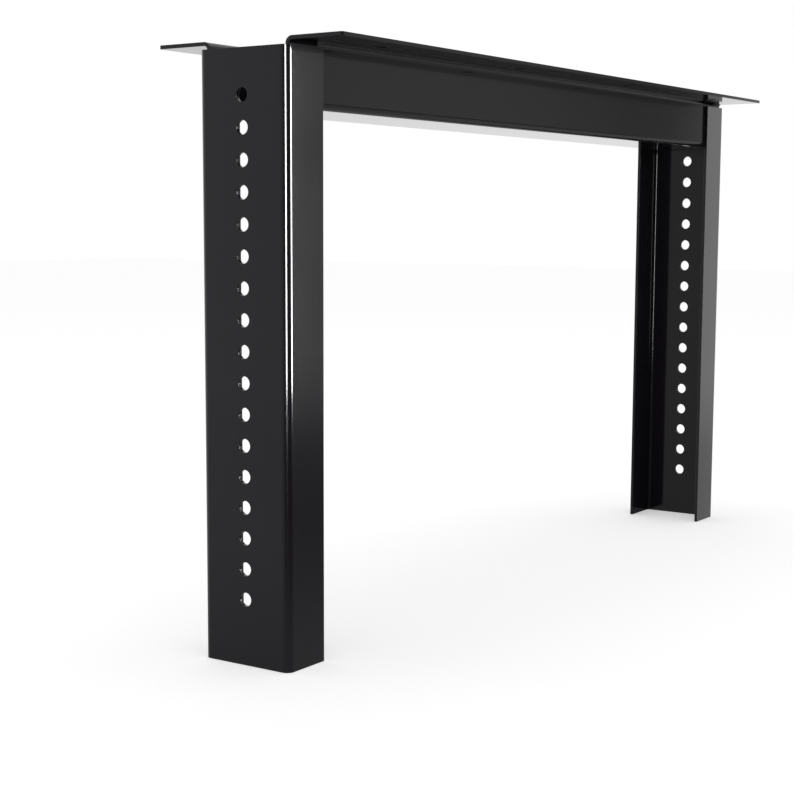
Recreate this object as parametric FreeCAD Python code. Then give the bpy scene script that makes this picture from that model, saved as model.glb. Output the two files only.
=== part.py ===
import FreeCAD, Part

import math
import os

from FreeCAD import Vector

# Portal frame folded from sheet: a top beam of top-hat section held between two
# channel legs.  The beam drops in between the side flanges of the legs, its walls
# lying flat against them, and its two screw flanges turn outwards over the legs.
# Millimetres.  +X runs along the beam, +Z up, origin on the floor midway between
# the legs.

# Driving dimensions
frame_length = 675.0            # over the outer faces of the two leg webs
frame_height = 398.0            # floor to the top face of the beam flanges
leg_width = 70.0                # over the side flanges of a leg
leg_depth = 37.5                # leg web's outer face to the free edge of a side flange
beam_depth = 43.0               # top face of the flanges to the underside of the beam floor
flange_reach = 38.0             # how far a beam flange stands out past the side of a leg
sheet = 2.5                     # thickness of every sheet
bend_radius = 2.5               # inside radius of every fold
bend_clearance = 0.5            # room left round a fold by the edge of the sheet beside it
flange_corner_radius = 1.5      # rounding of the beam flanges' free corners

leg_hole_diameter = 9.0
leg_hole_pitch = 20.0
leg_hole_lowest = 43.5          # centre of the lowest hole above the floor
leg_hole_top_margin = 25.0      # least distance from a hole's centre to the leg's top edge

flange_hole_diameter = 8.0
flange_hole_count = 4           # holes along each flange
flange_hole_end_distance = 73.5     # first hole's centre from the outer face of the leg

# Sizes that follow from them
fold_setback = sheet + bend_radius      # outside radius of a fold
beam_width = leg_width - 2 * sheet      # over the beam walls, which fit inside the legs
beam_end_gap = fold_setback + bend_clearance
beam_length = frame_length - 2 * beam_end_gap
flange_span = leg_width + 2 * flange_reach
leg_height = frame_height - fold_setback - bend_clearance


def turned(vector, degrees):
    """A vector in the XY plane, turned to the left."""
    angle = math.radians(degrees)
    return Vector(vector.x * math.cos(angle) - vector.y * math.sin(angle),
                  vector.x * math.sin(angle) + vector.y * math.cos(angle), 0)


def folded_section(start, heading, flats, folds):
    """Face of a folded sheet's section in the XY plane.

    The walk starts at the left-hand corner of the sheet's first edge and goes along
    the flats, with a fold after each but the last: +90 turns left, -90 turns right.
    """
    left, right = [], []
    position = start
    for length, fold in zip(flats, folds + [0]):
        across = turned(heading, -90) * sheet
        flat_end = position + heading * length
        left.append(Part.LineSegment(position, flat_end).toShape())
        right.append(Part.LineSegment(position + across, flat_end + across).toShape())
        position = flat_end
        if fold:
            side = 1 if fold > 0 else -1
            left_radius = bend_radius if fold > 0 else fold_setback
            centre = position + turned(heading, 90 * side) * left_radius
            for edges, face_start in ((left, position), (right, position + across)):
                spoke = face_start - centre
                arc = Part.Arc(face_start, centre + turned(spoke, fold / 2), centre + turned(spoke, fold))
                edges.append(arc.toShape())
            position = centre + turned(position - centre, fold)
            heading = turned(heading, fold)
    first_edge = Part.LineSegment(left[0].Vertexes[0].Point, right[0].Vertexes[0].Point).toShape()
    last_edge = Part.LineSegment(left[-1].Vertexes[-1].Point, right[-1].Vertexes[-1].Point).toShape()
    outline = Part.Wire(Part.__sortEdges__(left + right + [first_edge, last_edge]))
    return Part.Face(outline)


def rounded_plate(length, width, radius, bottom, top):
    """Upright prism over a rounded rectangle centred on the Z axis."""
    plate = Part.makeBox(length, width, top - bottom, Vector(-length / 2, -width / 2, bottom))
    upright = [edge for edge in plate.Edges if abs(edge.tangentAt(edge.FirstParameter).z) > 0.5]
    return plate.makeFillet(radius, upright)


def top_beam():
    """Top-hat section: screw flange, wall, floor, wall, screw flange."""
    flange_flat = (flange_span - beam_width) / 2 - bend_radius
    wall_flat = beam_depth - 2 * fold_setback
    floor_flat = beam_width - 2 * fold_setback
    section = folded_section(
        Vector(-flange_span / 2, frame_height, 0), Vector(1, 0, 0),
        [flange_flat, wall_flat, floor_flat, wall_flat, flange_flat],
        [-90, 90, 90, -90])
    # Section drawn in XY is stood up into YZ and run along X.
    section.rotate(Vector(0, 0, 0), Vector(1, 1, 1), 120)
    section.translate(Vector(-beam_length / 2, 0, 0))
    beam = section.extrude(Vector(beam_length, 0, 0))
    beam = beam.common(rounded_plate(beam_length, flange_span, flange_corner_radius,
                                     frame_height - beam_depth, frame_height))
    return beam.cut(Part.makeCompound(flange_holes()))


def flange_holes():
    """Screw holes in a row along the middle of each flange's flat."""
    hole_spacing = (frame_length - 2 * flange_hole_end_distance) / (flange_hole_count - 1)
    flange_middle = (beam_width / 2 + bend_radius + flange_span / 2) / 2
    first_x = -frame_length / 2 + flange_hole_end_distance
    return [Part.makeCylinder(flange_hole_diameter / 2, 3 * sheet,
                              Vector(first_x + index * hole_spacing, side * flange_middle,
                                     frame_height - 2 * sheet))
            for side in (-1, 1) for index in range(flange_hole_count)]


def left_leg():
    """Channel standing on end: side flange, web, side flange, web facing outwards."""
    outer_face = -frame_length / 2
    flange_flat = leg_depth - fold_setback
    web_flat = leg_width - 2 * fold_setback
    section = folded_section(
        Vector(outer_face + leg_depth, leg_width / 2 - sheet, 0), Vector(-1, 0, 0),
        [flange_flat, web_flat, flange_flat], [90, 90])
    leg = section.extrude(Vector(0, 0, leg_height))
    return leg.cut(Part.makeCompound(leg_holes(outer_face)))


def leg_holes(outer_face):
    """Column of round holes up the middle of a leg's web."""
    column = leg_height - leg_hole_lowest - leg_hole_top_margin
    count = int(column // leg_hole_pitch) + 1
    return [Part.makeCylinder(leg_hole_diameter / 2, 3 * sheet,
                              Vector(outer_face - sheet, 0, leg_hole_lowest + index * leg_hole_pitch),
                              Vector(1, 0, 0))
            for index in range(count)]


def main():
    leg = left_leg()
    pieces = {
        "top_beam": top_beam(),
        "left_leg": leg,
        "right_leg": leg.mirror(Vector(0, 0, 0), Vector(1, 0, 0)),
    }
    os.makedirs("parts", exist_ok=True)
    for name, shape in pieces.items():
        solid = shape.Solids[0]
        solid.exportStep("parts/%s.step" % name)
        box = solid.BoundBox
        print("%s: %.1f cm3, X %.1f..%.1f, Y %.1f..%.1f, Z %.1f..%.1f, valid %s" % (
            name, solid.Volume / 1000, box.XMin, box.XMax, box.YMin, box.YMax,
            box.ZMin, box.ZMax, solid.isValid()))


main()
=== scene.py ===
import math

import bpy
from mathutils import Matrix, Vector

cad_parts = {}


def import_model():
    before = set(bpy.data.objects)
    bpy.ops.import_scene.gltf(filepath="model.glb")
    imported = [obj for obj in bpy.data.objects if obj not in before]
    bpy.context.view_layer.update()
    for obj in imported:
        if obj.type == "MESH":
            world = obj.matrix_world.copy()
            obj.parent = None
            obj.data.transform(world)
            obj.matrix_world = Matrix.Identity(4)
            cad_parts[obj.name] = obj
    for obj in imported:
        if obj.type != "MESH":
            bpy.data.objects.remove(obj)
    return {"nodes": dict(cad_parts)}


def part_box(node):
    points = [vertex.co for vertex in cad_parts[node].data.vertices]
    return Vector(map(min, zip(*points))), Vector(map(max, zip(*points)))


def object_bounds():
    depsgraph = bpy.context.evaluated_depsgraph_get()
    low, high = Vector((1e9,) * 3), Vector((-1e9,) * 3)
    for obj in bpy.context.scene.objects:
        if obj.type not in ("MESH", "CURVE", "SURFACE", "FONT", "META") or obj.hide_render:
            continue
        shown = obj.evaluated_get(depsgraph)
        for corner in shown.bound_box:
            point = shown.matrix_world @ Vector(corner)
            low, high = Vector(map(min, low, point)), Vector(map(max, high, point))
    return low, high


# Portal frame folded from sheet, in gloss black powder coat, on a white studio sweep.
# Metres.  +X runs along the beam, +Z up, and the camera looks towards +X and +Y.

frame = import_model()
cad_low, cad_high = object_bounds()

# Powder coat
EDGE_RADIUS = 0.0004                # the coat flows over the cut edges and rounds them
EDGE_SAMPLES = 8
COAT_COLOUR = (0.0085, 0.0070, 0.0098, 1)
COAT_COLOUR_HIGH = (0.0125, 0.0105, 0.0140, 1)
COAT_ROUGHNESS = (0.07, 0.11)
COAT_IOR = 1.52
PEEL_SIZE = 0.0022                  # waves of the orange peel
PEEL_HEIGHT = 0.000006
GRAIN_SIZE = 0.0006                 # finer grain on top of them
GRAIN_HEIGHT = 0.0000008
PATCH_SIZE = 0.06                   # slow change of colour and gloss over the sheet
SPRING_BACK = math.radians(1.5)     # how far the far leg's side flanges stand out of square

# Studio
FLOOR_SIZE = 16.0
FLOOR_GAP = 0.0002                  # keeps the floor clear of the feet
FLOOR_COLOUR = (0.85, 0.85, 0.85, 1)
FLOOR_GLOW = 0.45                   # lifts the lit floor to white for the camera
AMBIENT_LIGHT = 0.62
OVERHEAD_LIGHT = 0.8                # what a level surface reflects
OVERHEAD_SINES = (0.35, 0.75)       # sine of the elevation where overhead light takes over
LOW_SINES = (-0.15, -0.09)          # and where the low part of the studio gives way to the wall
GROUND_LIGHT = 0.30                 # what faces that look down reflect
GROUND_SINES = (-0.30, -0.18)

RAY_SWITCH = (0.4, 0.6)             # limits that turn a ray's 0 or 1 into a choice

# Brightness that gloss reflects, by azimuth in degrees from +X towards +Y.  The white
# backdrop is past the object, with an edge at -21, and the room behind the camera is dark.
STUDIO_WALL = [(-180, 0.30), (-165, 0.08), (-60, 0.05), (-43, 0.30), (-36, 0.42), (-30, 0.32),
               (-25, 0.14), (-23, 0.14), (-21, 1.0), (95, 1.0), (120, 0.72), (145, 0.42), (180, 0.30)]
STUDIO_LOW = [(-180, 0.25), (-165, 0.06), (-60, 0.03), (-36, 0.12), (-23, 0.08), (-20, 0.70),
              (0, 1.0), (90, 1.0), (145, 0.36), (180, 0.25)]

# Soft box over the object
OVERHEAD_AZIMUTH = 90
OVERHEAD_DISTANCE = 0.1             # almost straight above
OVERHEAD_HEIGHT = 2.4
OVERHEAD_SIZE = (1.6, 1.6)
OVERHEAD_RADIANCE = 0.9

# Strip boxes that draw the bright lines down the folds.  Each leg has a pair of its own, because
# on the level flanges they would show as plain white.
LEFT_STRIP_AZIMUTH = 226
RIGHT_STRIP_AZIMUTH = 310
STRIP_DISTANCE = 2.0
STRIP_HEIGHT = 0.82
STRIP_SIZE = (0.58, 1.7)
NEAR_STRIP_LIGHT = 45.0
FAR_STRIP_LIGHT = 10.0

# Camera
CAMERA_PLACE = Vector((-1.1212, -0.6445, 0.2859))
CAMERA_YAW = math.radians(34.72)    # from +X towards +Y
CAMERA_PITCH = math.radians(-7.015)
CAMERA_ROLL = math.radians(0.129)
LENS = 72.70
SENSOR_WIDTH = 36.0
SHIFT = (0.0271, 0.0267)


# Node helpers

def node(tree, kind, **settings):
    """A new node with its inputs and properties set."""
    made = tree.nodes.new(kind)
    for name, value in settings.pop("inputs", {}).items():
        made.inputs[name].default_value = value
    for name, value in settings.items():
        setattr(made, name, value)
    return made


def math_node(tree, operation, first, second):
    made = node(tree, "ShaderNodeMath", operation=operation)
    for socket, value in zip(made.inputs, (first, second)):
        if isinstance(value, (int, float)):
            socket.default_value = value
        else:
            tree.links.new(value, socket)
    return made.outputs[0]


def noise(tree, place, size, detail=2.0):
    made = node(tree, "ShaderNodeTexNoise", inputs={"Scale": 1 / size, "Detail": detail})
    tree.links.new(place, made.inputs["Vector"])
    return made.outputs["Fac"]


def empty_tree(owner):
    owner.use_nodes = True
    owner.node_tree.nodes.clear()
    return owner.node_tree


# Powder coat

def powder_coat(name, spring_back=0.0, half_width=0.0):
    """Gloss black with orange peel.

    spring_back leans the shading of the faces that lie half_width or more from the middle
    plane, the outer sides of a leg, towards +X.
    """
    material = bpy.data.materials.new(name)
    tree = empty_tree(material)
    link = tree.links.new
    place = node(tree, "ShaderNodeTexCoord").outputs["Object"]
    patches = noise(tree, place, PATCH_SIZE, 3.0)

    colour = node(tree, "ShaderNodeMix", data_type="RGBA")
    colour.inputs["A"].default_value = COAT_COLOUR
    colour.inputs["B"].default_value = COAT_COLOUR_HIGH
    link(patches, colour.inputs["Factor"])

    roughness = node(tree, "ShaderNodeMapRange",
                     inputs={"To Min": COAT_ROUGHNESS[0], "To Max": COAT_ROUGHNESS[1]})
    link(patches, roughness.inputs["Value"])

    grain = node(tree, "ShaderNodeBump", inputs={"Distance": GRAIN_HEIGHT})
    link(noise(tree, place, GRAIN_SIZE), grain.inputs["Height"])
    peel = node(tree, "ShaderNodeBump", inputs={"Distance": PEEL_HEIGHT})
    link(noise(tree, place, PEEL_SIZE), peel.inputs["Height"])
    link(grain.outputs["Normal"], peel.inputs["Normal"])
    edges = node(tree, "ShaderNodeBevel", samples=EDGE_SAMPLES, inputs={"Radius": EDGE_RADIUS})
    link(edges.outputs["Normal"], grain.inputs["Normal"])
    if spring_back:
        link(leaning_normal(tree, place, spring_back, half_width), edges.inputs["Normal"])

    shader = node(tree, "ShaderNodeBsdfPrincipled", inputs={"IOR": COAT_IOR})
    link(colour.outputs["Result"], shader.inputs["Base Color"])
    link(roughness.outputs["Result"], shader.inputs["Roughness"])
    link(peel.outputs["Normal"], shader.inputs["Normal"])
    output = node(tree, "ShaderNodeOutputMaterial")
    link(shader.outputs["BSDF"], output.inputs["Surface"])
    return material


def leaning_normal(tree, place, lean, half_width):
    """The surface's normal, leaning towards +X where the surface is half_width from the middle."""
    link = tree.links.new
    axes = node(tree, "ShaderNodeSeparateXYZ")
    link(place, axes.inputs["Vector"])
    distance = math_node(tree, "ABSOLUTE", axes.outputs["Y"], 0.0)
    outside = math_node(tree, "GREATER_THAN", distance, half_width)
    shift = node(tree, "ShaderNodeCombineXYZ")
    link(math_node(tree, "MULTIPLY", outside, math.tan(lean)), shift.inputs["X"])
    leaning = node(tree, "ShaderNodeVectorMath", operation="ADD")
    link(node(tree, "ShaderNodeNewGeometry").outputs["Normal"], leaning.inputs[0])
    link(shift.outputs["Vector"], leaning.inputs[1])
    unit = node(tree, "ShaderNodeVectorMath", operation="NORMALIZE")
    link(leaning.outputs["Vector"], unit.inputs[0])
    return unit.outputs["Vector"]


def dress(piece, material):
    """Powder coat on a CAD node."""
    piece.data.materials.clear()
    piece.data.materials.append(material)


# Studio

def seen_rays(tree):
    """1 for camera, glossy and transmission rays, which see the white studio."""
    path = node(tree, "ShaderNodeLightPath").outputs
    seen = math_node(tree, "MAXIMUM", path["Is Camera Ray"], path["Is Glossy Ray"])
    return math_node(tree, "MAXIMUM", seen, path["Is Transmission Ray"])


def floor():
    half = FLOOR_SIZE / 2
    mesh = bpy.data.meshes.new("floor")
    corners = [(-half, -half, 0), (half, -half, 0), (half, half, 0), (-half, half, 0)]
    mesh.from_pydata(corners, [], [(0, 1, 2, 3)])
    plane = bpy.data.objects.new("floor", mesh)
    plane.location.z = cad_low.z - FLOOR_GAP
    plane.visible_glossy = False        # reflections see the studio's low part instead
    bpy.context.scene.collection.objects.link(plane)

    material = bpy.data.materials.new("floor")
    tree = empty_tree(material)
    diffuse = node(tree, "ShaderNodeBsdfDiffuse", inputs={"Color": FLOOR_COLOUR})
    glow = node(tree, "ShaderNodeEmission")
    tree.links.new(math_node(tree, "MULTIPLY", seen_rays(tree), FLOOR_GLOW), glow.inputs["Strength"])
    both = node(tree, "ShaderNodeAddShader")
    tree.links.new(diffuse.outputs[0], both.inputs[0])
    tree.links.new(glow.outputs[0], both.inputs[1])
    output = node(tree, "ShaderNodeOutputMaterial")
    tree.links.new(both.outputs[0], output.inputs["Surface"])
    mesh.materials.append(material)


def by_azimuth(tree, turn, stops):
    """Brightness looked up by azimuth; turn runs from 0 to 1 as the azimuth goes from -180 to 180."""
    ramp = node(tree, "ShaderNodeValToRGB")
    tree.links.new(turn, ramp.inputs["Fac"])
    elements = ramp.color_ramp.elements
    while len(elements) > 1:
        elements.remove(elements[-1])
    for index, (azimuth, brightness) in enumerate(stops):
        place = (azimuth + 180) / 360
        element = elements[0] if index == 0 else elements.new(place)
        element.position = place
        element.color = (brightness, brightness, brightness, 1)
    return ramp.outputs["Color"]


def blend(tree, value, limits, low, high):
    """low below the first limit of value, high above the second, and a smooth change between."""
    step = node(tree, "ShaderNodeMapRange", interpolation_type="SMOOTHSTEP",
                inputs={"From Min": limits[0], "From Max": limits[1]})
    tree.links.new(value, step.inputs["Value"])
    mix = node(tree, "ShaderNodeMix", data_type="FLOAT")
    tree.links.new(step.outputs["Result"], mix.inputs["Factor"])
    for socket, part in ((mix.inputs["A"], low), (mix.inputs["B"], high)):
        if isinstance(part, float):
            socket.default_value = part
        else:
            tree.links.new(part, socket)
    return mix.outputs["Result"]


def world():
    """White for the camera, the studio walls for reflections and an even glow for the rest."""
    studio = bpy.data.worlds.new("studio")
    bpy.context.scene.world = studio
    tree = empty_tree(studio)
    link = tree.links.new
    axes = node(tree, "ShaderNodeSeparateXYZ")
    link(node(tree, "ShaderNodeTexCoord").outputs["Generated"], axes.inputs["Vector"])
    angle = math_node(tree, "ARCTAN2", axes.outputs["Y"], axes.outputs["X"])
    turn = math_node(tree, "ADD", math_node(tree, "DIVIDE", angle, 2 * math.pi), 0.5)
    height = axes.outputs["Z"]
    low = blend(tree, height, GROUND_SINES, GROUND_LIGHT, by_azimuth(tree, turn, STUDIO_LOW))
    walls = blend(tree, height, LOW_SINES, low, by_azimuth(tree, turn, STUDIO_WALL))
    reflected = blend(tree, height, OVERHEAD_SINES, walls, OVERHEAD_LIGHT)

    path = node(tree, "ShaderNodeLightPath").outputs
    glossy = math_node(tree, "MAXIMUM", path["Is Glossy Ray"], path["Is Transmission Ray"])
    plain = blend(tree, path["Is Camera Ray"], RAY_SWITCH, AMBIENT_LIGHT, 1.0)
    background = node(tree, "ShaderNodeBackground", inputs={"Color": (1, 1, 1, 1)})
    link(blend(tree, glossy, RAY_SWITCH, plain, reflected), background.inputs["Strength"])
    output = node(tree, "ShaderNodeOutputWorld")
    link(background.outputs[0], output.inputs["Surface"])


def softbox(name, azimuth, distance, height, size, radiance, aim, lit=None):
    """Area lamp of size (width, height) that faces the point aim from an azimuth in degrees.

    With lit, a collection, it is seen only in the gloss of the pieces in there.
    """
    angle = math.radians(azimuth)
    place = Vector((aim.x + distance * math.cos(angle), aim.y + distance * math.sin(angle), height))
    lamp = bpy.data.lights.new(name, "AREA")
    lamp.shape = "RECTANGLE"
    lamp.size, lamp.size_y = size
    lamp.energy = radiance * math.pi * size[0] * size[1]
    holder = bpy.data.objects.new(name, lamp)
    holder.location = place
    holder.rotation_euler = (aim - place).to_track_quat("-Z", "Y").to_euler()
    holder.visible_camera = False
    if lit:
        holder.visible_diffuse = False
        holder.light_linking.receiver_collection = lit
    bpy.context.scene.collection.objects.link(holder)


def lamps():
    middle = (cad_low + cad_high) / 2
    near_corner = Vector((cad_low.x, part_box("left_leg")[0].y, STRIP_HEIGHT))
    softbox("overhead", OVERHEAD_AZIMUTH, OVERHEAD_DISTANCE, OVERHEAD_HEIGHT, OVERHEAD_SIZE,
            OVERHEAD_RADIANCE, middle)
    for leg, light in (("left_leg", NEAR_STRIP_LIGHT), ("right_leg", FAR_STRIP_LIGHT)):
        lit = bpy.data.collections.new("lit_" + leg)
        lit.objects.link(frame["nodes"][leg])
        for name, azimuth in (("left_strip_", LEFT_STRIP_AZIMUTH), ("right_strip_", RIGHT_STRIP_AZIMUTH)):
            softbox(name + leg, azimuth, STRIP_DISTANCE, STRIP_HEIGHT, STRIP_SIZE, light, near_corner, lit)


def camera():
    data = bpy.data.cameras.new("camera")
    data.lens = LENS
    data.sensor_width = SENSOR_WIDTH
    data.shift_x, data.shift_y = SHIFT
    holder = bpy.data.objects.new("camera", data)
    turn = Matrix.Rotation(CAMERA_YAW - math.pi / 2, 4, "Z")
    tilt = Matrix.Rotation(math.pi / 2 + CAMERA_PITCH, 4, "X")
    roll = Matrix.Rotation(CAMERA_ROLL, 4, "Z")
    holder.matrix_world = Matrix.Translation(CAMERA_PLACE) @ turn @ tilt @ roll
    bpy.context.scene.collection.objects.link(holder)
    bpy.context.scene.camera = holder


def dress_frame():
    square = powder_coat("powder_coat")
    leg_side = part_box("right_leg")[1].y - EDGE_RADIUS
    sprung = powder_coat("powder_coat_sprung", SPRING_BACK, leg_side)
    for name, piece in frame["nodes"].items():
        dress(piece, sprung if name == "right_leg" else square)


dress_frame()

floor()
world()
lamps()
camera()
bpy.context.scene.view_settings.view_transform = "Standard"
